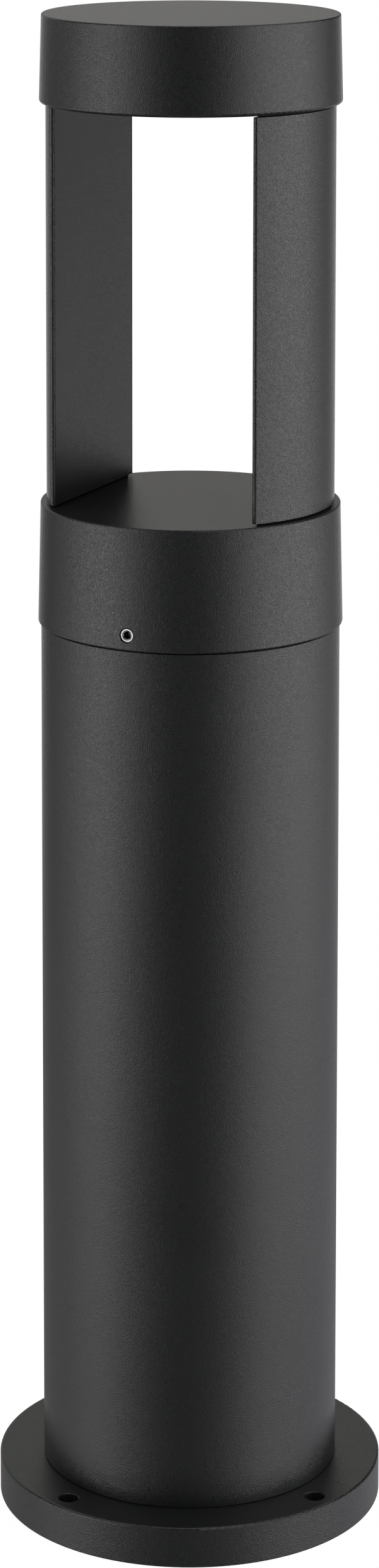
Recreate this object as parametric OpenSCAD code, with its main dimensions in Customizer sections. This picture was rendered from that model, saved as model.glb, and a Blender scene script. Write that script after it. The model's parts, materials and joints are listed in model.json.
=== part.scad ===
// Garden post light: a round post on a bolted flange, and a lamp cap on two hollow uprights.
// Origin at the centre of the flange's underside, +Z up, bolt holes on the diagonals.

/* [Base flange] */
// Outer diameter of the cast flange
flange_d = 166.5; // [158:0.5:200]
// Height of the flange
flange_h = 17.5; // [14:0.5:26]
// Rounding of the flange's top edge
flange_edge_r = 1; // [0.5:0.1:3]
// Rounding of the flange's foot
flange_foot_r = 0.6; // [0.2:0.1:1.5]
// Thickness of the web that closes the flange's top
flange_web = 7; // [5:0.5:9]
// Wall of the rim that stands on the ground
flange_rim = 5; // [3:0.5:7]
// Distance of the ground bolts' circle from the flange's outer edge
bolt_inset = 8.75; // [8:0.25:11]
// Number of ground bolts
bolt_count = 4; // [4:1:4]
// Diameter of each ground bolt hole
bolt_d = 8.5; // [6.5:0.5:11]
// Bevel round the mouth of each ground bolt hole
bolt_bevel = 0.3; // [0.2:0.1:1]
// Diameter of the solid boss round each ground bolt hole
bolt_boss_d = 20; // [16:1:22]
// Diameter of the cable entry through the web
entry_d = 36; // [28:1:38]
// Wall of the hub ring under the cable entry
hub_wall = 5; // [3:0.5:6]
// Width of the ribs under the web
rib_w = 4; // [3:0.5:6]
// How far the ribs stay above the ground
rib_lift = 1; // [0.5:0.5:3]
// Height of the spigot that centres the post
spigot_h = 8; // [5:1:12]
// Thickness of the gasket between flange and post
base_gasket_t = 0.4; // [0.3:0.1:1]

/* [Post] */
// Outer diameter of the post tube
post_d = 128; // [126:0.5:130]
// Wall of the post tube
post_wall = 3; // [2.5:0.25:3.5]
// Length of the post tube
post_len = 371; // [350:0.5:900]
// Radius of the circle through the screw ports
port_at_r = 49.5; // [49:0.25:50]
// Outer diameter of each screw port
port_d = 9.5; // [9:0.25:10]
// Width of the stem that carries a port on the wall
port_stem_w = 3; // [2.5:0.25:4]
// Width of the slit along each port
port_slit_w = 2; // [1.5:0.25:2.5]

/* [Post adapter] */
// Thickness of the adapter's plate on the end of the post
plate_t = 2.5; // [2:0.25:3]
// How far the plate stays inside the post's outer face
plate_inset = 2; // [1:0.25:2]
// Diameter of the opening in the plate
plate_hole_d = 88; // [84:1:90]
// Outer diameter of the neck that the collar slides over
neck_d = 116; // [115:0.5:117]
// Wall of the neck
neck_wall = 3; // [2.5:0.25:3.5]
// Height of the neck above the plate
neck_h = 12; // [10:0.5:16]
// Depth of the skirt inside the post
skirt_depth = 14; // [8:1:20]
// Wall of the skirt and of the base spigot
skirt_wall = 3; // [2:0.25:3.5]

/* [Collar] */
// Height of the collar
collar_h = 52; // [48:0.5:70]
// How far the collar's foot stands proud of the post
collar_lip = 1.25; // [0.75:0.25:2]
// How much the collar's radius shrinks from foot to top
collar_draft = 1.15; // [0.5:0.05:2]
// Shadow gap between post and collar
head_gap = 0.6; // [0.3:0.1:1]
// Wall of the collar at its top
collar_wall = 3.5; // [3:0.25:4]
// Thickness of the disc that closes the collar's top
disc_t = 4; // [3:0.5:6]
// Rounding of the edge round the disc
disc_edge_r = 0.6; // [0.4:0.1:1.5]
// Rounding of the collar's foot
collar_foot_r = 0.8; // [0.5:0.1:1.4]
// Thickness of the gasket under the collar
gasket_t = 0.6; // [0.4:0.1:1]
// Turn of the whole head against the bolt holes
head_turn = -25; // [-45:1:45]

/* [Grub screws] */
// Thread diameter of the grub screws that hold the head
grub_d = 6; // [5:1:6]
// Length of each grub screw
grub_len = 8; // [7.5:0.5:9]
// Height of the grub screws above the collar's foot
grub_at_z = 6.6; // [6.2:0.1:8]
// Number of grub screws
grub_count = 3; // [2:1:4]
// Width across flats of the hexagon socket
grub_hex_af = 3.2; // [2.5:0.1:3.5]
// Depth of the hexagon socket
grub_hex_depth = 3; // [2:0.5:4]
// Length of the bevel at each grub screw's point
grub_point = 1.2; // [0.8:0.1:1.5]
// How far each grub screw sits below the collar's face
grub_recess = 0.35; // [0.1:0.05:0.8]
// Width of the cast pad behind each grub screw
grub_pad_w = 12; // [10:1:13]

/* [Uprights] */
// Clear height between collar and cap
light_gap = 171; // [120:1:240]
// Distance of each upright's flat inner face from the axis
upright_face = 45.25; // [44.75:0.25:46.5]
// Wall of the hollow upright
upright_wall = 3; // [2.5:0.25:3]
// Rounding of the upright's long edges
upright_tip_r = 1.2; // [0.8:0.1:1.4]
// Gap between upright and the inside of the cap's rim
upright_gap = 0.5; // [0.3:0.1:0.8]
// Distance of the upright's screw ports from the mid plane
upright_port_y = 17; // [16:0.5:18]
// Outer diameter of the upright's screw ports
upright_port_d = 10; // [9.5:0.25:10.5]
// Thickness of the seal at each end of an upright
end_seal_t = 0.8; // [0.5:0.1:1.5]
// How far that seal stays inside the upright's outline
end_seal_inset = 1.2; // [0.8:0.1:1.5]

/* [Cap] */
// Outer diameter of the cap at its rim
cap_d = 128.5; // [128:0.25:130]
// Height of the cap
cap_h = 37.5; // [36:0.5:50]
// How much the cap's radius shrinks from rim to top
cap_draft = 1; // [0.5:0.1:2]
// Rounding of the cap's top edge
cap_top_r = 0.7; // [0.5:0.1:3]
// Rounding of the cap's lower edge
cap_rim_r = 1.4; // [0.5:0.1:2]
// Wall of the cap at its rim
cap_rim_wall = 2.25; // [2.1:0.05:2.5]
// Width of the shoulder that rests on the lamp carrier
cap_shoulder = 2.5; // [2:0.25:3]
// Thickness of the cap's top
cap_top_t = 4; // [3:0.25:5]
// Radius of the heat pad under the cap's top
heat_pad_r = 32; // [31.5:0.5:36]
// Depth of the heat pad and of the ribs round it
heat_pad_t = 5.5; // [4:0.5:6]
// Width of the cooling ribs inside the cap
cap_rib_w = 2.5; // [1.5:0.25:3]
// Outer diameter of the cap's screw bosses
cap_boss_d = 9; // [8:0.5:10]
// Radius of the circle through the cap's screws
cap_screw_r = 52; // [51.5:0.25:53]
// Angle of each cap screw from the open sides' mid line
cap_screw_turn = 28; // [22:1:30]

/* [Lamp carrier] */
// How far the carrier's underside lies above the cap's rim
carrier_lift = 5.5; // [5:0.5:7]
// Thickness of the carrier
carrier_t = 5; // [4.75:0.25:6]
// Radius of the light opening
light_r = 33; // [31:0.5:34]
// Cord thickness of the round seal in the carrier's edge
seal_d = 2.4; // [2:0.2:2.6]

/* [Lens] */
// Radius of the glass
lens_r = 38; // [37:0.25:38.5]
// Thickness of the glass
lens_t = 3; // [2.5:0.25:3.5]
// Thickness of the seal above the glass
lens_seal_t = 0.6; // [0.4:0.1:0.8]
// Outer radius of the retaining ring
lens_ring_r = 44.5; // [44.45:0.05:44.65]
// Inner radius of the retaining ring
lens_ring_hole_r = 34.5; // [34:0.25:35.5]
// Thickness of the retaining ring
lens_ring_t = 2; // [1.5:0.25:2.5]
// Radius of the circle through the ring's screws
lens_screw_r = 41.7; // [41.5:0.1:42]
// Number of screws in the ring
lens_screw_count = 6; // [4:1:8]

/* [Light engine] */
// Radius of the LED board
board_r = 31.5; // [30:0.25:31.5]
// Thickness of the LED board
board_t = 1.6; // [1:0.2:2]
// Thickness of the thermal pad
thermal_t = 0.5; // [0.3:0.1:1]
// Width of one LED
led_w = 3; // [2:0.25:3.5]
// Height of one LED
led_h = 0.8; // [0.5:0.1:1.2]
// Radius of the ring of LEDs
led_ring_r = 9; // [7:0.5:10]
// Number of LEDs in the ring
led_count = 8; // [6:1:8]
// Radius of the circle through the board's screws
board_screw_r = 27; // [26:0.5:28]
// Length of the plug-in connector on the board
connector_l = 7; // [5:0.5:7]
// Width of the connector
connector_w = 8; // [6:0.5:10]
// Height of the connector
connector_h = 4; // [4:0.25:5]
// Inner radius of the reflector at the board
reflector_top_r = 14; // [13:0.5:15]
// Thickness of the reflector's sheet
reflector_t = 1; // [0.8:0.1:1.2]
// Width of the reflector's lip on the carrier
reflector_lip = 4; // [3:0.5:5]

/* [Gear tray] */
// Width of the tray
tray_w = 64; // [56:1:66]
// Thickness of the tray's sheet
tray_t = 1.5; // [1:0.25:2]
// Length of the tray below the adapter's plate
tray_len = 214; // [210:1:300]
// Inside radius of the tray's folds
tray_fold_r = 2; // [1:0.5:3]
// Depth of the tray's top flange
tray_top_depth = 14; // [12:0.5:14.5]
// Overall width of the top flange with its two ears
tray_ear_w = 105; // [103:0.5:106]
// Depth of the shelf that holds the cable gland
tray_shelf_depth = 30; // [28:0.5:32]
// Width of that shelf
tray_shelf_w = 40; // [34:1:44]
// Distance of the ears' screws from the axis
tray_screw_x = 48.5; // [48:0.25:49]

/* [Driver] */
// Length of the driver's case
driver_l = 100; // [80:1:104]
// Width of the driver's case
driver_w = 36; // [30:1:40]
// Thickness of the driver's case
driver_t = 24; // [18:0.5:26]
// Distance from the axis at which the LED lead leaves the driver
led_out = 16; // [15:0.5:17]
// Bevel along the driver's outer edges
driver_bevel = 2; // [1:0.25:3]
// Height of the driver's lower end above the tray's shelf
driver_at_z = 92; // [90:0.5:94]
// Length of each fixing ear on the driver
driver_ear_l = 9; // [8:0.5:10]
// Thickness of the driver's fixing ears
driver_ear_t = 3; // [2:0.25:4]

/* [Terminal block] */
// Width of the terminal block
block_w = 34; // [32:1:36]
// Height of the terminal block
block_h = 24; // [20:1:26]
// Thickness of the terminal block
block_t = 16; // [14:0.5:17]
// Height of the block's lower end above the tray's shelf
block_at_z = 44; // [42:1:45]
// Distance between the block's poles
pole_pitch = 10; // [9:0.5:10.5]
// Depth of the leads' bores in the block
pole_depth = 6; // [4:1:8]

/* [Cable gland] */
// Thread diameter of the cable gland
gland_d = 16; // [12:1:16]
// Width across flats of the gland's hexagons
gland_af = 20; // [18:0.5:21]
// Distance of the gland from the tray's face
gland_at_y = 15; // [14:0.5:16]
// Diameter of the cable hole through gland
gland_hole_d = 10; // [6:0.5:10]

/* [Leads] */
// Diameter of the sheathed lead to the LEDs
led_lead_d = 4; // [3:0.25:4]
// Diameter of the single leads
wire_d = 2.5; // [2:0.25:3]
// How far a lead grommet's flange stands out past its hole
grommet_lip = 1.2; // [0.8:0.1:1.4]
// Thickness of a lead grommet's flange
grommet_lip_t = 1; // [0.6:0.1:1.5]
// Radius of the LED lead's bends
lead_bend_r = 8; // [7:0.5:8.5]
// Radius of the single leads' bends
wire_bend_r = 6; // [5:0.25:6]

/* [Screws] */
// Thread diameter of the large screws
big_screw_d = 5; // [4:0.5:5]
// Head diameter of the large screws
big_head_d = 9.5; // [8.5:0.25:9.5]
// Head height of the large screws
big_head_h = 3.5; // [3:0.25:4]
// Thread diameter of the medium screws
mid_screw_d = 4; // [3:0.5:4]
// Head diameter of the medium screws
mid_head_d = 8; // [7:0.25:8]
// Head height of the medium screws
mid_head_h = 2.6; // [2.2:0.1:2.8]
// Thread diameter of the small screws
small_screw_d = 3; // [2.5:0.5:3]
// Head diameter of the small screws
small_head_d = 5.5; // [5:0.25:5.5]
// Head height of the small screws
small_head_h = 1.9; // [1.5:0.1:2]
// Length of the screws from the flange into the post
base_screw_len = 30; // [24:1:40]
// Length of the other large screws
big_screw_len = 16; // [12:1:20]
// Length of the screws from the carrier into the uprights
head_screw_len = 22; // [20:1:26]
// Length of the cap's screws
cap_screw_len = 20; // [14:1:20]
// Length of the small screws under their heads
small_screw_len = 6; // [5:0.5:6]

/* [Clearances] */
// Radial gap between a screw's thread and its core hole
thread_gap = 0.05; // [0.02:0.01:0.1]
// Radial gap round a screw's head in its pocket
head_pocket_gap = 0.5; // [0.3:0.1:0.75]
// Radial gap round a screw in a through hole
hole_gap = 0.25; // [0.15:0.05:0.3]
// Radial gap between parts that slide into each other
slide_gap = 0.3; // [0.15:0.05:0.35]
// Gap round the post's ports where a spigot passes them
port_gap = 0.5; // [0.3:0.1:0.8]
// Gap between a rubber grommet and what it grips
grip_gap = 0.1; // [0.05:0.01:0.15]

/* [Hidden] */
$fn = 96;

// Colours as the photograph shows them, and plain ones for what is hidden
coat = [0.17, 0.18, 0.19];
steel = [0.72, 0.72, 0.70];
raw_alloy = [0.66, 0.67, 0.68];
rubber = [0.08, 0.08, 0.08];
clear_glass = [0.85, 0.92, 0.94, 0.5];

// A little more than nothing, so that a cut runs clear of the face it opens
cut = 0.5;

// Heights of the main joints, from the ground up
post_z = flange_h + base_gasket_t;
post_top = post_z + post_len;
plate_top = post_top + plate_t;
gasket_top = plate_top + gasket_t;
collar_z = post_top + head_gap;
disc_z = collar_z + collar_h;
disc_under = disc_z - disc_t;
cap_z = disc_z + light_gap;
upright_foot = disc_z + end_seal_t;
upright_top = cap_z - end_seal_t;
carrier_z = cap_z + carrier_lift;
carrier_top = carrier_z + carrier_t;
cap_top = cap_z + cap_h;
cap_ceiling = cap_top - cap_top_t;
heat_pad_z = cap_ceiling - heat_pad_t;
board_top = heat_pad_z - thermal_t;
board_z = board_top - board_t;

// Radii that follow from the driving sizes
bolt_pcd = flange_d - 2 * bolt_inset;
post_r = post_d / 2;
post_bore_r = post_r - post_wall;
skirt_r = post_bore_r - slide_gap;
plate_r = post_r - plate_inset;
neck_r = neck_d / 2;
collar_foot = post_r + collar_lip;
collar_top_r = collar_foot - collar_draft;
collar_bore_r = collar_top_r - collar_wall;
cap_rim = cap_d / 2;
cap_bore_r = cap_rim - cap_rim_wall;
upright_r = cap_bore_r - upright_gap;
carrier_r = cap_bore_r - slide_gap;
cap_inner_r = cap_bore_r - cap_shoulder;
hub_r = entry_d / 2 + 6;
ports_turn = 45;

// The grub screws run from the collar's face to a groove in the adapter's neck
grub_z = collar_z + grub_at_z;
grub_face_r = collar_foot - collar_draft * grub_at_z / collar_h - grub_recess;
groove_r = grub_face_r - grub_len - grip_gap;
grub_angles = [for (i = [0 : grub_count - 1]) -90 + i * 360 / grub_count];

// The upright's screw ports and its wiring chamber
upright_port_x = (upright_face + sqrt(pow(upright_r, 2) - pow(upright_port_y, 2))) / 2;
chamber_x = (upright_face + upright_r) / 2;
upright_ports = [for (x = [-1, 1], y = [-1, 1]) [x * upright_port_x, y * upright_port_y]];
cap_screw_at = [
    for (side = [90, 270], turn = [-1, 1])
        cap_screw_r * [cos(side + turn * cap_screw_turn), sin(side + turn * cap_screw_turn)]
];
lead_hole_r = led_lead_d / 2 + 2.4;

// Places on the gear tray
tray_z = plate_top - tray_len;
shelf_top = tray_z + tray_t;
block_z = tray_z + block_at_z;
block_face_y = tray_t / 2 + block_t;
driver_z = tray_z + driver_at_z;
driver_mid_y = -tray_t / 2 - driver_t / 2;
wire_y = tray_t / 2 + block_t / 2 + 1;
wire_z = (block_z + block_h + driver_z) / 2;
earth_x = block_w / 2 + 7;
earth_z = block_z + 12;
earth_tag_d = 7;
tag_t = 1.2;
barrel_r = wire_d / 2 + 0.75;
lead_cross_z = (plate_top + neck_h + disc_under) / 2;
connector_x = board_r - 0.5;

// Turns its children with the head
module in_head() {
    rotate([0, 0, head_turn]) children();
}

// A straight pipe or collar about the axis
module ring(outer, inner, z0, z1) {
    translate([0, 0, z0]) difference() {
        cylinder(r = outer, h = z1 - z0);
        translate([0, 0, -cut]) cylinder(r = inner, h = z1 - z0 + 2 * cut);
    }
}

// Half outline of a drafted cup, from the axis to its wall, with a rounded foot and top edge
module cup_outline(foot_r, draft, h, low_round, top_round) {
    lean = atan(draft / h);
    wall_at = foot_r * cos(lean);
    low = [(wall_at - low_round - sin(lean) * low_round) / cos(lean), low_round];
    high_z = h - top_round;
    high = [(wall_at - top_round - sin(lean) * high_z) / cos(lean), high_z];
    out = [cos(lean), sin(lean)];
    polygon([[0, 0], [low[0], 0], low + low_round * out, high + top_round * out, [high[0], h], [0, h]]);
    translate(low) circle(r = low_round);
    translate(high) circle(r = top_round);
}

// Flat-faced segment of a circle with rounded tips, its flat face at x = face
module segment_outline(r, face, tip) {
    tip_x = face + tip;
    tip_y = sqrt(pow(r - tip, 2) - pow(tip_x, 2));
    reach = 1.5;
    intersection() {
        circle(r = r);
        polygon([
            [face, -tip_y], [tip_x, -tip_y], [reach * tip_x, -reach * tip_y],
            [reach * tip_x, reach * tip_y], [tip_x, tip_y], [face, tip_y]
        ]);
    }
    for (side = [-1, 1]) translate([tip_x, side * tip_y]) circle(r = tip);
}

// Pan head screw: under side of the head at z = 0, shank up
module screw(d, len, head_d, head_h) {
    cylinder(d = d, h = len);
    translate([0, 0, -head_h]) difference() {
        cylinder(d = head_d, h = head_h);
        translate([0, 0, -cut]) cylinder(d = head_d * 0.5, h = head_h * 0.55 + cut, $fn = 6);
    }
}

module big_screw(len) {
    screw(big_screw_d, len, big_head_d, big_head_h);
}

module mid_screw(len) {
    screw(mid_screw_d, len, mid_head_d, mid_head_h);
}

module small_screw(len) {
    screw(small_screw_d, len, small_head_d, small_head_h);
}

// Direction from p to q, seen from above
function lead_angle(p, q) = atan2(q[1] - p[1], q[0] - p[0]);

// A bent lead in the vertical plane through p and q: up from p, across at z = across, up over q.
// What it leads on to starts at its upper end.
module lead_s(p, q, z0, across, z1, bend, d) {
    span = norm(q - p);
    translate([p[0], p[1], 0]) rotate([0, 0, lead_angle(p, q)]) {
        translate([0, 0, z0]) cylinder(d = d, h = across - bend - z0);
        translate([bend, 0, across - bend]) rotate([90, 0, 0])
            rotate_extrude(angle = 90, start = 90) translate([bend, 0]) circle(d = d);
        translate([bend, 0, across]) rotate([0, 90, 0]) cylinder(d = d, h = span - 2 * bend);
        translate([span - bend, 0, across + bend]) rotate([90, 0, 0])
            rotate_extrude(angle = 90, start = 270) translate([bend, 0]) circle(d = d);
        translate([span, 0, across + bend]) cylinder(d = d, h = z1 - across - bend);
        translate([span, 0, z1]) children();
    }
}

// A lead that arches from p over to q, with its straight ends down to z0 and z1
module lead_arch(p, q, z0, spring, z1, d) {
    span = norm(q - p);
    translate([p[0], p[1], 0]) rotate([0, 0, lead_angle(p, q)]) {
        translate([0, 0, z0]) cylinder(d = d, h = spring - z0);
        translate([span / 2, 0, spring]) rotate([90, 0, 0])
            rotate_extrude(angle = 180) translate([span / 2, 0]) circle(d = d);
        translate([span, 0, z1]) cylinder(d = d, h = spring - z1);
    }
}

// Places its children at each of the post's four screw ports
module at_ports() {
    for (i = [0 : 3]) rotate([0, 0, ports_turn + 90 * i]) translate([port_at_r, 0, 0]) children();
}

// Places its children at each ground bolt
module at_bolts() {
    for (i = [0 : bolt_count - 1]) rotate([0, 0, 45 + i * 360 / bolt_count])
        translate([bolt_pcd / 2, 0, 0]) children();
}

// The strips a spigot leaves free for the stems of the post's screw ports
module stem_notches(z0, h) {
    for (i = [0 : 3]) rotate([0, 0, ports_turn + 90 * i])
        translate([port_at_r, -port_stem_w / 2 - port_gap, z0])
            cube([post_r - port_at_r, port_stem_w + 2 * port_gap, h]);
}

// Short pipe that fits the post's bore and clears its ports
module post_spigot(z0, h) {
    difference() {
        ring(skirt_r, skirt_r - skirt_wall, z0, z0 + h);
        stem_notches(z0 - cut, h + 2 * cut);
    }
}

// Cast flange, hollow below, with bosses at its bolts and screws and ribs between them
module base_flange() {
    flange_r = flange_d / 2;
    web_z = flange_h - flange_web;
    screw_seat = base_seat_z();
    color(coat) difference() {
        union() {
            difference() {
                rotate_extrude() cup_outline(flange_r, 0, flange_h, flange_foot_r, flange_edge_r);
                translate([0, 0, -cut]) cylinder(r = flange_r - flange_rim, h = web_z + cut);
            }
            ring(hub_r + hub_wall, hub_r, 0, web_z + cut);
            intersection() {
                at_bolts() cylinder(d = bolt_boss_d, h = web_z + cut);
                cylinder(r = flange_r - 1, h = flange_h);
            }
            at_ports() cylinder(d = big_head_d + 8, h = web_z + cut);
            for (i = [0 : 7]) rotate([0, 0, 45 * i])
                translate([hub_r + 1, -rib_w / 2, rib_lift])
                    cube([flange_r - flange_rim - hub_r + 1, rib_w, web_z - rib_lift + cut]);
            post_spigot(flange_h - cut, spigot_h + cut);
        }
        translate([0, 0, -cut]) cylinder(d = entry_d, h = flange_h + 2 * cut);
        at_bolts() translate([0, 0, -cut]) cylinder(d = bolt_d, h = flange_h + 2 * cut);
        at_bolts() translate([0, 0, flange_h - bolt_bevel])
            cylinder(d1 = bolt_d, d2 = bolt_d + 4 * bolt_bevel, h = 2 * bolt_bevel);
        at_ports() translate([0, 0, -cut]) cylinder(d = big_screw_d + 2 * hole_gap, h = flange_h + 2 * cut);
        at_ports() translate([0, 0, -cut]) cylinder(d = big_head_d + 1.5, h = screw_seat + cut);
    }
}

// Height of the seat for the heads of the screws under the flange
function base_seat_z() = flange_h - flange_web - 3;

module base_screws() {
    color(steel) at_ports() translate([0, 0, base_seat_z()]) big_screw(base_screw_len);
}

// Rubber grommet that lines the cable entry, gripping the web between two flanges
module entry_grommet() {
    web_z = flange_h - flange_web;
    sleeve_r = entry_d / 2 - grip_gap;
    flange_out = entry_d / 2 + 4;
    lip_t = 2;
    hole_r = 7;
    cone_h = 8;
    color(rubber) rotate_extrude() polygon([
        [hole_r, web_z - lip_t], [flange_out - 1, web_z - lip_t], [flange_out, web_z],
        [sleeve_r, web_z], [sleeve_r, flange_h], [flange_out, flange_h],
        [flange_out - 1, flange_h + lip_t], [hole_r + 6, flange_h + lip_t],
        [hole_r + 2, flange_h + lip_t + cone_h], [hole_r, flange_h + lip_t + cone_h]
    ]);
}

// Flat gasket under the post's wall
module base_gasket() {
    color(rubber) ring(post_r - 0.4, post_bore_r, flange_h, post_z);
}

// Extruded post with four screw ports on stems inside
module post_tube() {
    color(coat) translate([0, 0, post_z]) linear_extrude(post_len) difference() {
        union() {
            difference() {
                circle(r = post_r);
                circle(r = post_bore_r);
            }
            for (i = [0 : 3]) rotate(ports_turn + 90 * i) {
                translate([port_at_r, 0]) circle(d = port_d);
                translate([port_at_r, -port_stem_w / 2]) square([post_r - 1 - port_at_r, port_stem_w]);
            }
        }
        for (i = [0 : 3]) rotate(ports_turn + 90 * i) translate([port_at_r, 0]) {
            circle(d = big_screw_d + 2 * thread_gap);
            translate([-port_d, -port_slit_w / 2]) square([port_d, port_slit_w]);
        }
    }
}

// Cast ring on the post's end: skirt inside the post, plate on its end, grooved neck above
module post_adapter() {
    floor_half = grub_d / 2 - grub_point + 0.15;
    mouth_r = neck_r + 1;
    mouth_half = floor_half + mouth_r - groove_r;
    color(coat) difference() {
        union() {
            ring(plate_r, plate_hole_d / 2, post_top, plate_top);
            ring(neck_r, neck_r - neck_wall, plate_top - cut, plate_top + neck_h);
            post_spigot(post_top - skirt_depth, skirt_depth + cut);
        }
        translate([0, 0, grub_z]) rotate_extrude() polygon([
            [groove_r, -floor_half], [mouth_r, -mouth_half], [mouth_r, mouth_half], [groove_r, floor_half]
        ]);
        at_ports() translate([0, 0, post_top - cut])
            cylinder(d = big_screw_d + 2 * hole_gap, h = plate_t + 2 * cut);
        for (side = [-1, 1]) translate([side * tray_screw_x, tray_screw_y(), post_top - cut])
            cylinder(d = mid_screw_d + 2 * thread_gap, h = plate_t + 2 * cut);
    }
}

// Distance of the tray's ear screws from the tray's mid plane
function tray_screw_y() = tray_top_depth / 2;

module adapter_screws() {
    color(steel) at_ports() translate([0, 0, plate_top]) mirror([0, 0, 1]) big_screw(big_screw_len);
}

module head_gasket() {
    color(rubber) ring(plate_r - 0.1, neck_r + slide_gap, plate_top, gasket_top);
}

// Sheet tray that hangs in the post from two ears on the adapter's plate
module gear_tray() {
    fold = tray_fold_r + tray_t;
    color(raw_alloy) difference() {
        union() {
            translate([-tray_w / 2, -tray_t / 2, tray_z + fold])
                cube([tray_w, tray_t, tray_len - 2 * fold + tray_t]);
            tray_fold(tray_w, plate_top + tray_t, 1);
            tray_fold(tray_shelf_w, tray_z, 0);
            translate([-tray_ear_w / 2, fold - tray_t / 2, plate_top])
                cube([tray_ear_w, tray_top_depth - fold, tray_t]);
            translate([-tray_shelf_w / 2, fold - tray_t / 2, tray_z])
                cube([tray_shelf_w, tray_shelf_depth - fold, tray_t]);
        }
        for (side = [-1, 1]) translate([side * tray_screw_x, tray_screw_y(), plate_top - cut])
            cylinder(d = mid_screw_d + 2 * hole_gap, h = tray_t + 2 * cut);
        translate([0, gland_at_y, tray_z - cut]) cylinder(d = gland_d + 2 * hole_gap, h = tray_t + 2 * cut);
        translate([-pole_pitch - wire_d, -tray_t, wire_z - wire_d])
            cube([pole_pitch + 2 * wire_d, 2 * tray_t, 2 * wire_d]);
        for (z = driver_screw_zs()) translate([0, 0, z]) rotate([90, 0, 0])
            cylinder(d = small_screw_d + 2 * thread_gap, h = 2 * tray_t, center = true);
        translate([earth_x, 0, earth_z]) rotate([90, 0, 0])
            cylinder(d = mid_screw_d + 2 * thread_gap, h = 2 * tray_t, center = true);
        for (side = [-1, 1]) translate([side * block_screw_x(), 0, block_z + block_h / 2])
            rotate([90, 0, 0]) cylinder(d = small_screw_d + 2 * thread_gap, h = 2 * tray_t, center = true);
    }
}

// Quarter fold across the tray: at the top it ends under z, at the foot it starts at z
module tray_fold(width, z, top) {
    fold = tray_fold_r + tray_t;
    turn = top == 1 ? 90 : 180;
    mid_z = top == 1 ? z - fold : z + fold;
    translate([-width / 2, fold - tray_t / 2, mid_z]) rotate([90, 0, 90]) linear_extrude(width)
        intersection() {
            difference() {
                circle(r = fold);
                circle(r = tray_fold_r);
            }
            rotate(turn) square(fold + cut);
        }
}

function block_screw_x() = block_w / 2 - 3;
function driver_screw_zs() = [driver_z + driver_ear_l / 2, driver_z + driver_l - driver_ear_l / 2];

module tray_screws() {
    color(steel) for (side = [-1, 1])
        translate([side * tray_screw_x, tray_screw_y(), plate_top + tray_t])
            mirror([0, 0, 1]) mid_screw(plate_t + tray_t);
}

// Sealed driver with a fixing ear at each end
module led_driver() {
    body_l = driver_l - 2 * driver_ear_l;
    half = driver_w / 2;
    color([0.85, 0.85, 0.82]) difference() {
        union() {
            translate([0, -tray_t / 2, driver_z + driver_ear_l]) linear_extrude(body_l) polygon([
                [-half, 0], [-half, driver_bevel - driver_t], [driver_bevel - half, -driver_t],
                [half - driver_bevel, -driver_t], [half, driver_bevel - driver_t], [half, 0]
            ]);
            translate([-half, -tray_t / 2 - driver_ear_t, driver_z]) cube([driver_w, driver_ear_t, driver_l]);
        }
        for (z = driver_screw_zs()) translate([0, 0, z]) rotate([90, 0, 0])
            cylinder(d = small_screw_d + 2 * hole_gap, h = 3 * driver_ear_t);
    }
}

module driver_screws() {
    color(steel) for (z = driver_screw_zs())
        translate([0, -tray_t / 2 - driver_ear_t, z]) rotate([-90, 0, 0])
            small_screw(driver_ear_t + tray_t);
}

// Three-pole block: bores for the leads from below and above, a clamp screw over each bore
module terminal_block() {
    body = [block_w, block_t, block_h];
    color([0.9, 0.9, 0.88]) difference() {
        translate([-block_w / 2, tray_t / 2, block_z]) cube(body);
        for (x = [-1, 0, 1] * pole_pitch, end = [0, 1])
            translate([x, wire_y, block_z + (end == 1 ? block_h - pole_depth : -cut)])
                cylinder(d = wire_d + 2 * grip_gap, h = pole_depth + cut);
        for (x = [-1, 0, 1] * pole_pitch, z = clamp_zs())
            translate([x, block_face_y + cut, z]) rotate([90, 0, 0])
                cylinder(d = small_screw_d + 1, h = cut + 4);
        for (side = [-1, 1]) translate([side * block_screw_x(), 0, block_z + block_h / 2])
            rotate([-90, 0, 0]) cylinder(d = small_screw_d + 2 * hole_gap, h = 3 * block_t, center = true);
        for (side = [-1, 1]) translate([side * block_screw_x(), block_face_y - 10, block_z + block_h / 2])
            rotate([-90, 0, 0]) cylinder(d = small_head_d + 0.5, h = 10 + cut);
    }
}

function clamp_zs() = [block_z + 4, block_z + block_h - 4];

// The six clamp screws and the two that fix the block
module terminal_screws() {
    seat_y = block_face_y - 10;
    color(steel) {
        for (x = [-1, 0, 1] * pole_pitch, z = clamp_zs())
            translate([x, block_face_y - 4, z]) rotate([-90, 0, 0]) difference() {
                cylinder(d = small_screw_d + 0.6, h = 3);
                translate([-small_screw_d, -0.4, 2]) cube([2 * small_screw_d, 0.8, 2]);
            }
        for (side = [-1, 1]) translate([side * block_screw_x(), seat_y, block_z + block_h / 2])
            rotate([90, 0, 0]) small_screw(seat_y + tray_t / 2);
    }
}

// Screwed cable gland in the tray's shelf, open and empty
module cable_gland() {
    hex_h = 6;
    dome_h = 9;
    thread_h = tray_t + 8;
    color(rubber) translate([0, gland_at_y, tray_z]) difference() {
        union() {
            translate([0, 0, -hex_h]) cylinder(r = gland_af / 2 / cos(30), h = hex_h, $fn = 6);
            cylinder(d = gland_d, h = thread_h);
            translate([0, 0, -hex_h - dome_h]) rotate_extrude()
                cup_outline(gland_af / 2 - 1, -1, dome_h + cut, 1, 0.2);
        }
        translate([0, 0, -hex_h - dome_h - cut])
            cylinder(d = gland_hole_d, h = hex_h + dome_h + thread_h + 2 * cut);
    }
}

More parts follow.
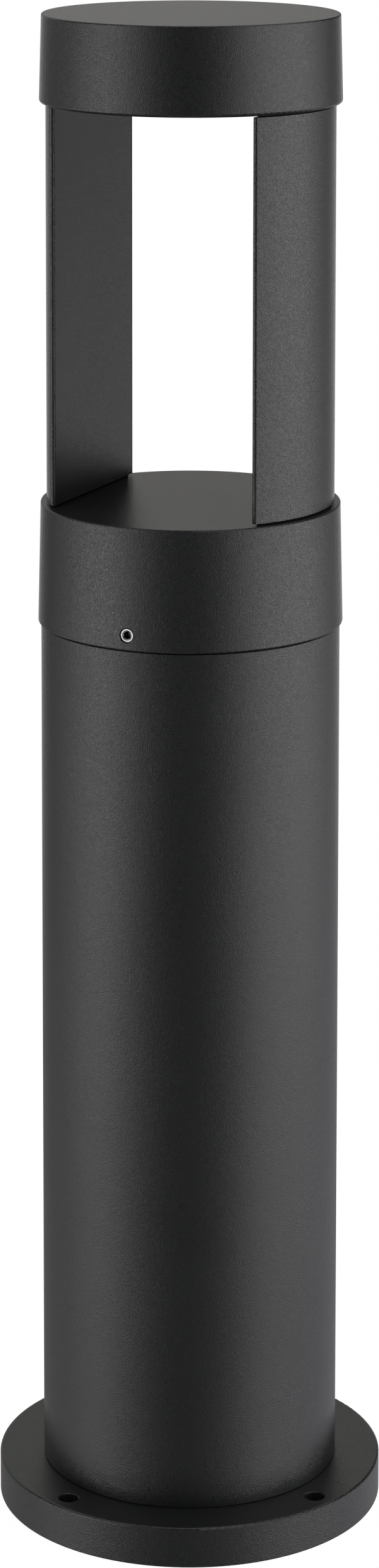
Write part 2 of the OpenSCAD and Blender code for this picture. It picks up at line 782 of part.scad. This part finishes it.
module gland_nut() {
    color(rubber) translate([0, gland_at_y, shelf_top]) difference() {
        cylinder(r = gland_af / 2 / cos(30), h = 5, $fn = 6);
        translate([0, 0, -cut]) cylinder(d = gland_d + 2 * thread_gap, h = 5 + 2 * cut);
    }
}

// Two leads from the block's first poles, through the tray's slot to the driver's lower end
module supply_leads() {
    color([0.25, 0.3, 0.5]) for (x = [-pole_pitch, 0])
        lead_s([x, wire_y], [x, driver_mid_y], block_z + block_h - pole_depth, wire_z,
               driver_z + driver_ear_l, wire_bend_r, wire_d);
}

// Earth lead from the block's third pole to a ring tag on the tray
module earth_lead() {
    tag_y = tray_t / 2;
    lead_end = [earth_x, tag_y + barrel_r];
    barrel_z = earth_z + earth_tag_d / 2 + 1;
    color([0.45, 0.6, 0.15]) {
        lead_arch([pole_pitch, wire_y], lead_end, block_z + block_h - pole_depth,
                  block_z + block_h + 3, barrel_z + 1, wire_d);
        translate([lead_end[0], lead_end[1], barrel_z]) cylinder(r = barrel_r, h = 5);
        translate([earth_x, tag_y + tag_t, earth_z]) rotate([90, 0, 0]) difference() {
            union() {
                cylinder(d = earth_tag_d + 1, h = tag_t);
                translate([-1.5, 0, 0]) cube([3, earth_tag_d / 2 + 4, tag_t]);
            }
            translate([0, 0, -cut]) cylinder(d = mid_screw_d + 2 * hole_gap, h = tag_t + 2 * cut);
        }
    }
}

module earth_screw() {
    color(steel) translate([earth_x, tray_t / 2 + tag_t, earth_z]) rotate([90, 0, 0])
        screw(mid_screw_d, tray_t + tag_t, earth_tag_d, mid_head_h);
}

// Sheathed lead in the head's mid plane: from the driver's top, through the disc and the left
// upright, to the connector on the LED board
module led_lead() {
    turn_z = board_z - connector_h / 2;
    color([0.15, 0.15, 0.15]) in_head()
        lead_s([led_out, 0], [-chamber_x, 0], driver_z + driver_l - driver_ear_l, lead_cross_z,
               turn_z - lead_bend_r, lead_bend_r, led_lead_d)
            translate([-lead_bend_r, 0, 0]) {
                rotate([90, 0, 0]) rotate_extrude(angle = 90) translate([lead_bend_r, 0]) circle(d = led_lead_d);
                translate([0, 0, lead_bend_r]) rotate([0, -90, 0])
                    cylinder(d = led_lead_d, h = chamber_x - lead_bend_r - connector_x);
            }
}

// Cast collar: a drafted cup upside down, its top the disc that the light falls on
module collar() {
    color(coat) difference() {
        translate([0, 0, collar_z])
            rotate_extrude() cup_outline(collar_foot, collar_draft, collar_h, collar_foot_r, disc_edge_r);
        translate([0, 0, collar_z - cut])
            cylinder(r = plate_r + slide_gap, h = gasket_top - collar_z + cut);
        difference() {
            translate([0, 0, gasket_top - cut])
                cylinder(r = collar_bore_r, h = disc_under - gasket_top + cut);
            in_head() for (a = grub_angles) rotate([0, 0, a])
                translate([neck_r - 1, -grub_pad_w / 2, gasket_top - 2 * cut])
                    cube([collar_bore_r - neck_r + 2, grub_pad_w, disc_under - gasket_top + 3 * cut]);
        }
        translate([0, 0, gasket_top - cut]) cylinder(r = neck_r + slide_gap, h = neck_h + 2);
        in_head() {
            for (a = grub_angles) rotate([0, 0, a]) translate([0, 0, grub_z]) rotate([0, 90, 0]) {
                cylinder(d = grub_d + 2 * thread_gap, h = collar_foot + 1);
                translate([0, 0, grub_face_r - 0.2]) cylinder(d = grub_d + 0.7, h = 3);
            }
            for (p = upright_ports) translate([p[0], p[1], disc_under - cut])
                cylinder(d = big_screw_d + 2 * hole_gap, h = disc_t + 2 * cut);
            translate([-chamber_x, 0, disc_under - cut]) cylinder(r = lead_hole_r, h = disc_t + 2 * cut);
        }
    }
}

// Steel grub screws with a hexagon socket and a bevelled point
module grub_screws() {
    bevel = 0.3;
    color(steel) in_head() for (a = grub_angles) rotate([0, 0, a])
        translate([grub_face_r - grub_len, 0, grub_z]) rotate([0, 90, 0]) difference() {
            union() {
                cylinder(d1 = grub_d - 2 * grub_point, d2 = grub_d, h = grub_point);
                translate([0, 0, grub_point]) cylinder(d = grub_d, h = grub_len - grub_point - bevel);
                translate([0, 0, grub_len - bevel]) cylinder(d1 = grub_d, d2 = grub_d - 2 * bevel, h = bevel);
            }
            translate([0, 0, grub_len - grub_hex_depth])
                cylinder(r = grub_hex_af / 2 / cos(30), h = grub_hex_depth + cut, $fn = 6);
            translate([0, 0, grub_len - 0.4])
                cylinder(d1 = grub_hex_af, d2 = grub_hex_af + 1.4, h = 0.4 + 0.01);
        }
}

// Small rubber sleeve with one flange, gripped in a hole of the given thickness
module grommet(sleeve_h) {
    color(rubber) difference() {
        union() {
            cylinder(r = lead_hole_r - grip_gap, h = sleeve_h);
            translate([0, 0, sleeve_h]) cylinder(r = lead_hole_r + grommet_lip, h = grommet_lip_t);
        }
        translate([0, 0, -cut])
            cylinder(r = led_lead_d / 2 + grip_gap, h = sleeve_h + grommet_lip_t + 2 * cut);
    }
}

module disc_grommet() {
    in_head() translate([-chamber_x, 0, disc_z]) mirror([0, 0, 1]) grommet(disc_t);
}

module carrier_grommet() {
    in_head() translate([-chamber_x, 0, carrier_z]) grommet(carrier_t);
}

// Hollow extruded upright with two screw ports, its flat face at x = upright_face
module upright() {
    inner_tip = 0.6;
    translate([0, 0, upright_foot]) linear_extrude(upright_top - upright_foot) difference() {
        segment_outline(upright_r, upright_face, upright_tip_r);
        difference() {
            segment_outline(upright_r - upright_wall, upright_face + upright_wall, inner_tip);
            for (side = [-1, 1]) translate([upright_port_x, side * upright_port_y])
                circle(d = upright_port_d);
        }
        for (side = [-1, 1]) translate([upright_port_x, side * upright_port_y])
            circle(d = big_screw_d + 2 * thread_gap);
    }
}

module left_upright() {
    color(coat) in_head() rotate([0, 0, 180]) upright();
}

module right_upright() {
    color(coat) in_head() upright();
}

// Flat seal at the end of an upright, set back from its outline
module end_seal(z) {
    in_head() translate([0, 0, z]) linear_extrude(end_seal_t) difference() {
        segment_outline(upright_r - end_seal_inset, upright_face + end_seal_inset,
                        upright_tip_r - end_seal_inset / 2);
        for (side = [-1, 1]) translate([upright_port_x, side * upright_port_y])
            circle(d = big_screw_d + 2 * hole_gap);
        translate([chamber_x, 0]) circle(r = lead_hole_r);
    }
}

module left_foot_seal() {
    color(rubber) rotate([0, 0, 180]) end_seal(disc_z);
}

module right_foot_seal() {
    color(rubber) end_seal(disc_z);
}

module left_head_seal() {
    color(rubber) rotate([0, 0, 180]) end_seal(upright_top);
}

module right_head_seal() {
    color(rubber) end_seal(upright_top);
}

module foot_screws() {
    color(steel) in_head() for (p = upright_ports) translate([p[0], p[1], disc_under])
        big_screw(big_screw_len);
}

module head_screws() {
    color(steel) in_head() for (p = upright_ports) translate([p[0], p[1], carrier_top])
        mirror([0, 0, 1]) big_screw(head_screw_len);
}

// Cast plate with a foot on each upright, that carries cap, lens and reflector
module lamp_carrier() {
    groove_floor = carrier_r - seal_d + slide_gap / 2;
    groove_w = seal_d + 0.3;
    lens_pocket = lens_t + lens_seal_t;
    color(raw_alloy) in_head() difference() {
        union() {
            translate([0, 0, carrier_z]) cylinder(r = carrier_r, h = carrier_t);
            for (turn = [0, 180]) rotate([0, 0, turn]) translate([0, 0, cap_z])
                linear_extrude(carrier_lift + cut) intersection() {
                    circle(r = upright_r - end_seal_inset);
                    translate([upright_face + end_seal_inset, -upright_r]) square(2 * upright_r);
                }
        }
        translate([0, 0, carrier_z + carrier_t / 2 - groove_w / 2])
            ring(carrier_r + 1, groove_floor, 0, groove_w);
        translate([0, 0, carrier_z - cut]) cylinder(r = light_r, h = carrier_t + 2 * cut);
        translate([0, 0, carrier_z - cut]) cylinder(r = lens_r + slide_gap, h = lens_pocket + cut);
        for (p = upright_ports) translate([p[0], p[1], cap_z - cut])
            cylinder(d = big_screw_d + 2 * hole_gap, h = carrier_lift + carrier_t + 2 * cut);
        for (p = cap_screw_at) translate([p[0], p[1], carrier_z - cut])
            cylinder(d = mid_screw_d + 2 * hole_gap, h = carrier_t + 2 * cut);
        translate([-chamber_x, 0, cap_z - cut])
            cylinder(r = lead_hole_r, h = carrier_lift + carrier_t + 2 * cut);
        at_lens_screws() translate([0, 0, carrier_z - cut])
            cylinder(d = small_screw_d + 2 * thread_gap, h = small_screw_len - lens_ring_t + 0.3 + cut);
    }
}

module at_lens_screws() {
    for (i = [0 : lens_screw_count - 1]) rotate([0, 0, i * 360 / lens_screw_count])
        translate([lens_screw_r, 0, 0]) children();
}

// Round seal in the carrier's edge
module cap_seal() {
    color(rubber) translate([0, 0, carrier_z + carrier_t / 2]) rotate_extrude()
        translate([cap_bore_r - grip_gap - seal_d / 2, 0]) circle(d = seal_d);
}

// Cast cap: a drafted cup upside down with bosses, a heat pad and cooling ribs inside
module top_cap() {
    rib_reach = cap_inner_r + 1 - heat_pad_r;
    color(coat) difference() {
        union() {
            difference() {
                translate([0, 0, cap_z])
                    rotate_extrude() cup_outline(cap_rim, cap_draft, cap_h, cap_rim_r, cap_top_r);
                translate([0, 0, cap_z - cut]) cylinder(r = cap_bore_r, h = carrier_top - cap_z + cut);
                translate([0, 0, carrier_top - cut])
                    cylinder(r = cap_inner_r, h = cap_ceiling - carrier_top + cut);
            }
            translate([0, 0, heat_pad_z]) cylinder(r = heat_pad_r, h = heat_pad_t + cut);
            in_head() {
                for (i = [0 : 7]) rotate([0, 0, 45 * i])
                    translate([heat_pad_r - 1, -cap_rib_w / 2, heat_pad_z])
                        cube([rib_reach + 1, cap_rib_w, heat_pad_t + cut]);
                for (p = cap_screw_at) translate([p[0], p[1], carrier_top])
                    cylinder(d = cap_boss_d, h = cap_ceiling - carrier_top + cut);
            }
        }
        in_head() {
            for (p = cap_screw_at) translate([p[0], p[1], carrier_top - cut])
                cylinder(d = mid_screw_d + 2 * thread_gap, h = cap_screw_len - carrier_t + 1 + cut);
            for (p = upright_ports) translate([p[0], p[1], carrier_top - cut])
                cylinder(d = big_head_d + 2 * head_pocket_gap, h = big_head_h + 1 + cut);
            translate([-chamber_x, 0, carrier_top - cut])
                cylinder(r = lead_hole_r + grommet_lip + slide_gap, h = grommet_lip_t + 1 + cut);
            at_board_screws() translate([0, 0, heat_pad_z - cut])
                cylinder(d = small_screw_d + 2 * thread_gap, h = heat_pad_t - 0.5 + cut);
        }
    }
}

module cap_screws() {
    color(steel) in_head() for (p = cap_screw_at) translate([p[0], p[1], carrier_z])
        mid_screw(cap_screw_len);
}

module lens() {
    color(clear_glass) translate([0, 0, carrier_z]) cylinder(r = lens_r, h = lens_t);
}

module lens_seal() {
    color(rubber) ring(lens_r - 0.1, light_r + 0.3, carrier_z + lens_t, carrier_z + lens_t + lens_seal_t);
}

// Retaining ring under the glass, with a bevelled light opening
module lens_ring() {
    color(coat) in_head() difference() {
        translate([0, 0, carrier_z - lens_ring_t]) difference() {
            cylinder(r = lens_ring_r, h = lens_ring_t);
            translate([0, 0, -0.01])
                cylinder(r1 = lens_ring_hole_r + lens_ring_t, r2 = lens_ring_hole_r, h = lens_ring_t + 0.02);
        }
        at_lens_screws() translate([0, 0, carrier_z - lens_ring_t - cut])
            cylinder(d = small_screw_d + 2 * hole_gap, h = lens_ring_t + 2 * cut);
    }
}

module lens_screws() {
    color(steel) in_head() at_lens_screws() translate([0, 0, carrier_z - lens_ring_t])
        small_screw(small_screw_len);
}

// Spun reflector: a lip on the carrier and a cone that closes in on the LEDs
module reflector() {
    top_z = board_z - slide_gap;
    wide_r = light_r - reflector_t;
    color([0.9, 0.9, 0.9]) rotate_extrude() polygon([
        [reflector_top_r, top_z], [wide_r, carrier_top], [wide_r + reflector_lip, carrier_top],
        [wide_r + reflector_lip, carrier_top + reflector_t],
        [wide_r + reflector_t, carrier_top + reflector_t], [reflector_top_r + reflector_t, top_z]
    ]);
}

module led_board() {
    color([0.93, 0.93, 0.9]) in_head() difference() {
        translate([0, 0, board_z]) cylinder(r = board_r, h = board_t);
        at_board_screws() translate([0, 0, board_z - cut])
            cylinder(d = small_screw_d + 2 * hole_gap, h = board_t + 2 * cut);
    }
}

module at_board_screws() {
    for (i = [0 : 2]) rotate([0, 0, 120 * i]) translate([board_screw_r, 0, 0]) children();
}

// LEDs under the board: a ring and one in the middle
module led_chips() {
    color([0.95, 0.85, 0.4]) in_head() translate([0, 0, board_z - led_h]) {
        for (i = [0 : led_count - 1]) rotate([0, 0, i * 360 / led_count])
            translate([led_ring_r - led_w / 2, -led_w / 2, 0]) cube([led_w, led_w, led_h]);
        translate([-led_w / 2, -led_w / 2, 0]) cube([led_w, led_w, led_h]);
    }
}

module board_connector() {
    color([0.9, 0.9, 0.88]) in_head()
        translate([-connector_x, -connector_w / 2, board_z - connector_h])
            cube([connector_l, connector_w, connector_h]);
}

module board_screws() {
    color(steel) in_head() at_board_screws() translate([0, 0, board_z]) small_screw(small_screw_len);
}

module thermal_pad() {
    color([0.5, 0.5, 0.55]) in_head() difference() {
        translate([0, 0, board_top]) cylinder(r = board_r, h = thermal_t);
        at_board_screws() translate([0, 0, board_top - cut])
            cylinder(d = small_screw_d + 2 * hole_gap, h = thermal_t + 2 * cut);
    }
}

base_flange();
base_screws();
entry_grommet();
base_gasket();
post_tube();
post_adapter();
adapter_screws();
head_gasket();
gear_tray();
tray_screws();
led_driver();
driver_screws();
terminal_block();
terminal_screws();
cable_gland();
gland_nut();
supply_leads();
earth_lead();
earth_screw();
led_lead();
collar();
grub_screws();
disc_grommet();
left_foot_seal();
right_foot_seal();
left_upright();
right_upright();
foot_screws();
left_head_seal();
right_head_seal();
lamp_carrier();
head_screws();
carrier_grommet();
cap_seal();
top_cap();
cap_screws();
lens();
lens_seal();
lens_ring();
lens_screws();
reflector();
led_board();
led_chips();
board_connector();
board_screws();
thermal_pad();
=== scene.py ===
import json
import math

import bpy
from mathutils import Matrix

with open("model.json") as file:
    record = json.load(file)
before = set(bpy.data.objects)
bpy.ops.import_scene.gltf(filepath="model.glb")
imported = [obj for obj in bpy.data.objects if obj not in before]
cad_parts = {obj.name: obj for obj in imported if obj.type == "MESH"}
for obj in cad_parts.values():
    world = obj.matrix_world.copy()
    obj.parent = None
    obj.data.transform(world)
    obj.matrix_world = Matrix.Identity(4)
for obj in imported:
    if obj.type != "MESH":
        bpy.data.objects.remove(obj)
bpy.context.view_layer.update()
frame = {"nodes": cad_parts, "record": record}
nodes = frame["nodes"]
slot_of = {s["node"]: s["material_slot"] for s in frame["record"]["subparts"]}
scene = bpy.context.scene


# ---- camera, as fitted to the photograph; it stands a little to the left of the -Y axis ----
TURN = math.radians(-1.0)
DISTANCE, HEIGHT = 1.7632, 0.8028    # metres from the post's axis, and over the ground
DOWN_TILT, ROLL = 0.132, 0.00105     # radians
SENSOR, LENS = 36.0, 96.49           # millimetres
SHIFT = (-0.00089, -0.36973)


def make_camera():
    data = bpy.data.cameras.new("camera")
    data.sensor_width = SENSOR
    data.lens = LENS
    data.shift_x, data.shift_y = SHIFT
    data.clip_start = 0.01
    data.clip_end = 50.0
    cam = bpy.data.objects.new("camera", data)
    scene.collection.objects.link(cam)
    pitch = math.radians(90.0) - DOWN_TILT
    cam.matrix_world = (Matrix.Rotation(TURN, 4, "Z") @ Matrix.Translation((0.0, -DISTANCE, HEIGHT))
                        @ Matrix.Rotation(pitch, 4, "X") @ Matrix.Rotation(ROLL, 4, "Z"))
    scene.camera = cam


make_camera()


# ---- small helpers for node trees ----
class Tree:
    """Adds nodes to a node tree in short calls; an input is a value or another node's output."""

    def __init__(self, tree):
        self.tree = tree
        tree.nodes.clear()

    def add(self, kind, inputs=None, **settings):
        node = self.tree.nodes.new(kind)
        for key, value in settings.items():
            setattr(node, key, value)
        for key, value in (inputs or {}).items():
            if isinstance(value, bpy.types.NodeSocket):
                self.tree.links.new(value, node.inputs[key])
            else:
                node.inputs[key].default_value = value
        return node

    def math(self, operation, a, b=0.0, c=0.0):
        return self.add("ShaderNodeMath", {0: a, 1: b, 2: c}, operation=operation).outputs[0]

    def scaled(self, vector, scale):
        node = self.add("ShaderNodeVectorMath", {0: vector, "Scale": scale}, operation="SCALE")
        return node.outputs[0]

    def stretched(self, vector, scale):
        return self.add("ShaderNodeMapping", {"Vector": vector, "Scale": scale}).outputs["Vector"]

    def noise(self, vector, scale, detail, rough):
        node = self.add("ShaderNodeTexNoise", {"Vector": vector, "Scale": scale, "Detail": detail,
                                               "Roughness": rough})
        return node.outputs["Fac"]

    def blend(self, first, second, share):
        """A weighted sum of two noises, with share as the second one's weight."""
        return self.math("ADD", self.math("MULTIPLY", first, 1.0 - share),
                         self.math("MULTIPLY", second, share))

    def ramp(self, value, stops):
        node = self.add("ShaderNodeValToRGB", {"Fac": value})
        elements = node.color_ramp.elements
        while len(elements) < len(stops):
            elements.new(0.5)
        for element, (place, colour) in zip(elements, stops):
            element.position = place
            element.color = (*colour, 1.0)
        return node.outputs["Color"]

    def span(self, value, low, high, to_low, to_high):
        node = self.add("ShaderNodeMapRange", {"Value": value, "From Min": low, "From Max": high,
                                               "To Min": to_low, "To Max": to_high})
        return node.outputs["Result"]

    def bump(self, height, strength, distance, normal=None):
        inputs = {"Height": height, "Strength": strength, "Distance": distance}
        if normal is not None:
            inputs["Normal"] = normal
        return self.add("ShaderNodeBump", inputs).outputs["Normal"]


def grey(v):
    return (v, v, v)


# ---- materials, one for each of the record's slots; noise scales are per metre, bumps in metres ----
NOISE_LOW, NOISE_HIGH = 0.3, 0.7    # most of a noise's values lie between these


def new_material(name):
    mat = bpy.data.materials.new(name)
    mat.use_nodes = True
    tree = Tree(mat.node_tree)
    coords = tree.add("ShaderNodeTexCoord").outputs["Object"]
    out = tree.add("ShaderNodeOutputMaterial")
    shader = tree.add("ShaderNodeBsdfPrincipled")
    tree.tree.links.new(shader.outputs["BSDF"], out.inputs["Surface"])
    return mat, tree, coords, shader


def link(tree, socket, shader, name):
    tree.tree.links.new(socket, shader.inputs[name])


def link_tone(tree, noise, dark, light, shader):
    link(tree, tree.ramp(noise, [(NOISE_LOW, dark), (NOISE_HIGH, light)]), shader, "Base Color")


def link_roughness(tree, noise, low, high, shader):
    link(tree, tree.span(noise, NOISE_LOW, NOISE_HIGH, low, high), shader, "Roughness")


def powder_coat():
    """Fine-textured anthracite powder coat: grains under half a millimetre, and a soft orange peel."""
    mat, t, xyz, s = new_material("anthracite_coat")
    grain = t.noise(xyz, 2800.0, 0.0, 0.5)
    peel = t.noise(xyz, 420.0, 2.0, 0.5)
    cloud = t.noise(xyz, 18.0, 3.0, 0.5)
    link_tone(t, t.blend(grain, cloud, 0.25), (0.012, 0.0125, 0.013), (0.026, 0.027, 0.028), s)
    link_roughness(t, grain, 0.13, 0.20, s)
    normal = t.bump(peel, 0.12, 0.0003)
    link(t, t.bump(grain, 1.0, 0.00012, normal), s, "Normal")
    s.inputs["Specular IOR Level"].default_value = 0.5
    return mat


def screw_steel():
    """Plain stainless steel with fine marks from turning; the shade in its sockets is painted into the
    base colour by an ambient occlusion node.
    """
    mat, t, xyz, s = new_material("screw_steel")
    marks = t.noise(t.stretched(xyz, (1.0, 1.0, 6.0)), 1500.0, 4.0, 0.6)
    bright = t.ramp(marks, [(0.25, (0.52, 0.52, 0.51)), (0.75, (0.70, 0.70, 0.69))])
    # painted shade: where ambient occlusion finds a recess, such as a socket, the base colour darkens
    # to about a tenth
    open_sky = t.add("ShaderNodeAmbientOcclusion", {"Distance": 0.0035}, samples=8).outputs["AO"]
    painted_socket_shade = t.span(open_sky, 0.45, 0.85, 0.09, 1.0)
    link(t, t.scaled(bright, painted_socket_shade), s, "Base Color")
    link_roughness(t, marks, 0.22, 0.36, s)
    link(t, t.bump(marks, 0.1, 0.00005), s, "Normal")
    s.inputs["Metallic"].default_value = 1.0
    return mat


def bare_alloy():
    """Uncoated aluminium with a rolled or turned grain."""
    mat, t, xyz, s = new_material("bare_alloy")
    marks = t.noise(t.stretched(xyz, (1.0, 1.0, 0.08)), 1900.0, 5.0, 0.65)
    cloud = t.noise(xyz, 60.0, 3.0, 0.5)
    link_tone(t, t.blend(marks, cloud, 0.4), (0.56, 0.57, 0.58), (0.70, 0.71, 0.72), s)
    link_roughness(t, marks, 0.34, 0.48, s)
    link(t, t.bump(marks, 0.15, 0.00006), s, "Normal")
    s.inputs["Metallic"].default_value = 1.0
    return mat


def clear_glass():
    """Clear hardened glass with a faint green body and hardly visible ripple."""
    mat, t, xyz, s = new_material("clear_glass")
    ripple = t.noise(xyz, 35.0, 2.0, 0.5)
    link_tone(t, ripple, (0.90, 0.955, 0.94), (0.95, 0.98, 0.97), s)
    link(t, t.bump(ripple, 0.05, 0.0003), s, "Normal")
    s.inputs["Roughness"].default_value = 0.02
    s.inputs["IOR"].default_value = 1.52
    s.inputs["Transmission Weight"].default_value = 1.0
    return mat


def bright_reflector():
    """Bright anodised aluminium, spun: fine rings round the axis."""
    mat, t, xyz, s = new_material("bright_reflector")
    marks = t.noise(t.stretched(xyz, (0.05, 0.05, 1.0)), 2400.0, 3.0, 0.6)
    link_tone(t, marks, grey(0.80), grey(0.90), s)
    link_roughness(t, marks, 0.12, 0.22, s)
    s.inputs["Metallic"].default_value = 1.0
    return mat


def moulded(name, dark, light, rough, bump=0.1, scale=900.0, specular=0.5):
    """Moulded plastic, rubber or a lead's sheath: a slight mottle and a fine spark-eroded grain."""
    mat, t, xyz, s = new_material(name)
    grain = t.noise(xyz, scale, 3.0, 0.55)
    cloud = t.noise(xyz, 45.0, 2.0, 0.5)
    link_tone(t, t.blend(grain, cloud, 0.5), dark, light, s)
    link_roughness(t, grain, rough - 0.06, rough + 0.06, s)
    link(t, t.bump(grain, bump, 0.0001), s, "Normal")
    s.inputs["Specular IOR Level"].default_value = specular
    return mat


MOULDED = {    # darker and lighter tone, roughness, and where it differs, bump, grain and gloss
    "black_rubber": (grey(0.004), grey(0.009), 0.75, 0.2, 1400.0, 0.12),
    "white_mask": (grey(0.74), grey(0.82), 0.45),
    "white_plastic": ((0.70, 0.69, 0.65), (0.79, 0.78, 0.74), 0.42),
    "driver_case": ((0.60, 0.60, 0.57), (0.70, 0.70, 0.67), 0.5, 0.25),
    "gland_plastic": (grey(0.02), grey(0.034), 0.4),
    "led_phosphor": ((0.80, 0.55, 0.12), (0.92, 0.70, 0.22), 0.25),
    "supply_sheath": ((0.05, 0.09, 0.30), (0.08, 0.13, 0.38), 0.4),
    "earth_sheath": ((0.14, 0.34, 0.05), (0.22, 0.44, 0.08), 0.4),
    "led_sheath": (grey(0.025), grey(0.04), 0.5),
    "pad_silicone": ((0.26, 0.27, 0.30), (0.33, 0.34, 0.37), 0.7),
}
materials = {
    "anthracite_coat": powder_coat(),
    "screw_steel": screw_steel(),
    "bare_alloy": bare_alloy(),
    "clear_glass": clear_glass(),
    "bright_reflector": bright_reflector(),
    **{name: moulded(name, *look) for name, look in MOULDED.items()},
}
for name, obj in nodes.items():
    obj.data.materials.clear()
    obj.data.materials.append(materials[slot_of[name]])


# ---- white background: the world and the floor are white to camera and transmission rays ----
WHITE = (1.0, 1.0, 1.0, 1.0)


def sees_white(t):
    """1 for the rays that see the white background; glossy rays see the studio."""
    path = t.add("ShaderNodeLightPath")
    return t.math("MAXIMUM", path.outputs["Is Camera Ray"], path.outputs["Is Transmission Ray"])


# ---- floor: white to the camera, and it keeps the object's soft shadow ----
FLOOR_RADIUS, FLOOR_SIDES = 0.55, 96
FLOOR_DROP = 0.0002                     # it lies this much below the flange's foot, in metres
PAPER = (0.70, 0.70, 0.70, 1.0)
GLOW_SHARE, GLOW_STRENGTH = 0.84, 1.14    # with the lit paper's share this comes to white


def make_floor():
    angles = [math.tau * i / FLOOR_SIDES for i in range(FLOOR_SIDES)]
    rim = [(FLOOR_RADIUS * math.cos(a), FLOOR_RADIUS * math.sin(a), 0.0) for a in angles]
    mesh = bpy.data.meshes.new("floor")
    mesh.from_pydata(rim, [], [tuple(range(FLOOR_SIDES))])
    floor = bpy.data.objects.new("floor", mesh)
    scene.collection.objects.link(floor)
    floor.location.z = -FLOOR_DROP
    # it takes the object's shadow, but the coat mirrors the studio and no floor, as on the photograph
    floor.visible_diffuse = floor.visible_glossy = floor.visible_shadow = False
    mat = bpy.data.materials.new("floor")
    mat.use_nodes = True
    t = Tree(mat.node_tree)
    share = t.math("MULTIPLY", sees_white(t), GLOW_SHARE)
    paper = t.add("ShaderNodeBsdfDiffuse", {"Color": PAPER}).outputs[0]
    glow = t.add("ShaderNodeEmission", {"Color": WHITE, "Strength": GLOW_STRENGTH}).outputs[0]
    mixed = t.add("ShaderNodeMixShader", {0: share, 1: paper, 2: glow}).outputs[0]
    t.add("ShaderNodeOutputMaterial", {"Surface": mixed})
    mesh.materials.append(mat)


make_floor()


# ---- studio: a tall soft box on each side, pale light above and behind, a dark camera side ----
STUDIO_STRENGTH = 8.2
TOP_LEVEL = 8.0            # a colour ramp holds no more than 1, so levels are given as parts of this
RIGHT_FROM, BEHIND_FROM = 20, 160    # degrees round the object from which a ring's tints begin
NEUTRAL = (1.0, 1.0, 1.0)
ALL_ROUND = [(-180, 1.48), (180, 1.48)]
# levels at degrees round the object: 0 is the camera's side, 90 the viewer's right, 180 behind
HIGH = [(-180, 0.71), (-135, 0.61), (-45, 0.0), (45, 0.31), (135, 0.81), (180, 0.71)]
BOXES = [
    (-180, 0.34), (-150, 0.36), (-125, 0.41), (-105, 0.0), (-92, 0.0), (-80, 0.33),
    (-68, 0.97), (-56, 1.17), (-44, 0.68), (-28, 0.15), (0, 0.0), (28, 0.13), (44, 1.12),
    (56, 1.39), (68, 1.42), (80, 1.01), (92, 1.11), (105, 0.89), (118, 0.0), (132, 0.0),
    (150, 0.0), (180, 0.34)]
LOW = [
    (-180, 0.94), (-150, 0.06), (-120, 0.23), (-95, 1.39), (-75, 3.89), (-55, 2.45),
    (-30, 0.22), (0, 0.0), (30, 0.68), (55, 3.12), (75, 3.06), (95, 3.2), (120, 0.54),
    (150, 0.16), (180, 0.94)]
LOWER = [
    (-180, 0.16), (-150, 0.21), (-120, 0.42), (-95, 0.7), (-75, 0.92), (-55, 0.68),
    (-30, 0.31), (0, 0.04), (30, 0.31), (55, 0.96), (75, 0.96), (95, 0.47), (120, 0.6),
    (150, 0.36), (180, 0.16)]
BELOW = [(-180, 0.0), (-135, 0.0), (-45, 0.21), (45, 0.22), (135, 0.0), (180, 0.0)]


def make_world():
    world = bpy.data.worlds.new("studio")
    scene.world = world
    world.use_nodes = True
    t = Tree(world.node_tree)
    way = t.add("ShaderNodeTexCoord").outputs["Generated"]
    xyz = t.add("ShaderNodeSeparateXYZ", {0: way})
    # 0.5 faces the camera side, 0 and 1 lie behind the object, above 0.5 is the viewer's right
    turn = t.math("ARCTAN2", xyz.outputs["X"], t.math("MULTIPLY", xyz.outputs["Y"], -1.0))
    place = t.math("WRAP", t.math("DIVIDE", t.math("SUBTRACT", turn, TURN), math.tau), 0.5, -0.5)
    place = t.math("ADD", place, 0.5)
    height = t.math("ARCSINE", xyz.outputs["Z"])

    def ring(low, high, soft, levels, right=NEUTRAL, behind=NEUTRAL):
        """Light from low to high degrees over the horizon, with edges soft degrees wide."""
        stops = []
        for degrees, level in levels:
            tint = behind if abs(degrees) > BEHIND_FROM else right if degrees > RIGHT_FROM else NEUTRAL
            stops.append((degrees / 360.0 + 0.5, tuple(level / TOP_LEVEL * part for part in tint)))
        up = t.span(height, math.radians(low - soft / 2), math.radians(low + soft / 2), 0.0, 1.0)
        down = t.span(height, math.radians(high - soft / 2), math.radians(high + soft / 2), 1.0, 0.0)
        return t.scaled(t.ramp(place, stops), t.math("MULTIPLY", up, down))

    rings = [
        ring(70.0, 120.0, 8.0, ALL_ROUND),
        ring(40.0, 70.0, 8.0, HIGH),
        ring(-2.0, 8.0, 8.0, BOXES, behind=(1.03, 1.0, 0.985)),
        ring(8.0, 40.0, 8.0, BOXES, behind=(0.99, 1.0, 0.91)),
        ring(-16.0, -2.0, 6.0, LOW),
        ring(-32.0, -16.0, 6.0, LOWER, right=(1.012, 1.0, 1.06)),
        ring(-120.0, -32.0, 6.0, BELOW),
    ]
    light = rings[0]
    for other in rings[1:]:
        light = t.add("ShaderNodeVectorMath", {0: light, 1: other}, operation="ADD").outputs[0]
    studio = t.add("ShaderNodeBackground", {"Color": light, "Strength": STUDIO_STRENGTH}).outputs[0]
    white = t.add("ShaderNodeBackground", {"Color": WHITE, "Strength": 1.0}).outputs[0]
    both = t.add("ShaderNodeMixShader", {0: sees_white(t), 1: studio, 2: white}).outputs[0]
    t.add("ShaderNodeOutputWorld", {"Surface": both})


make_world()

scene.view_settings.view_transform = "Standard"
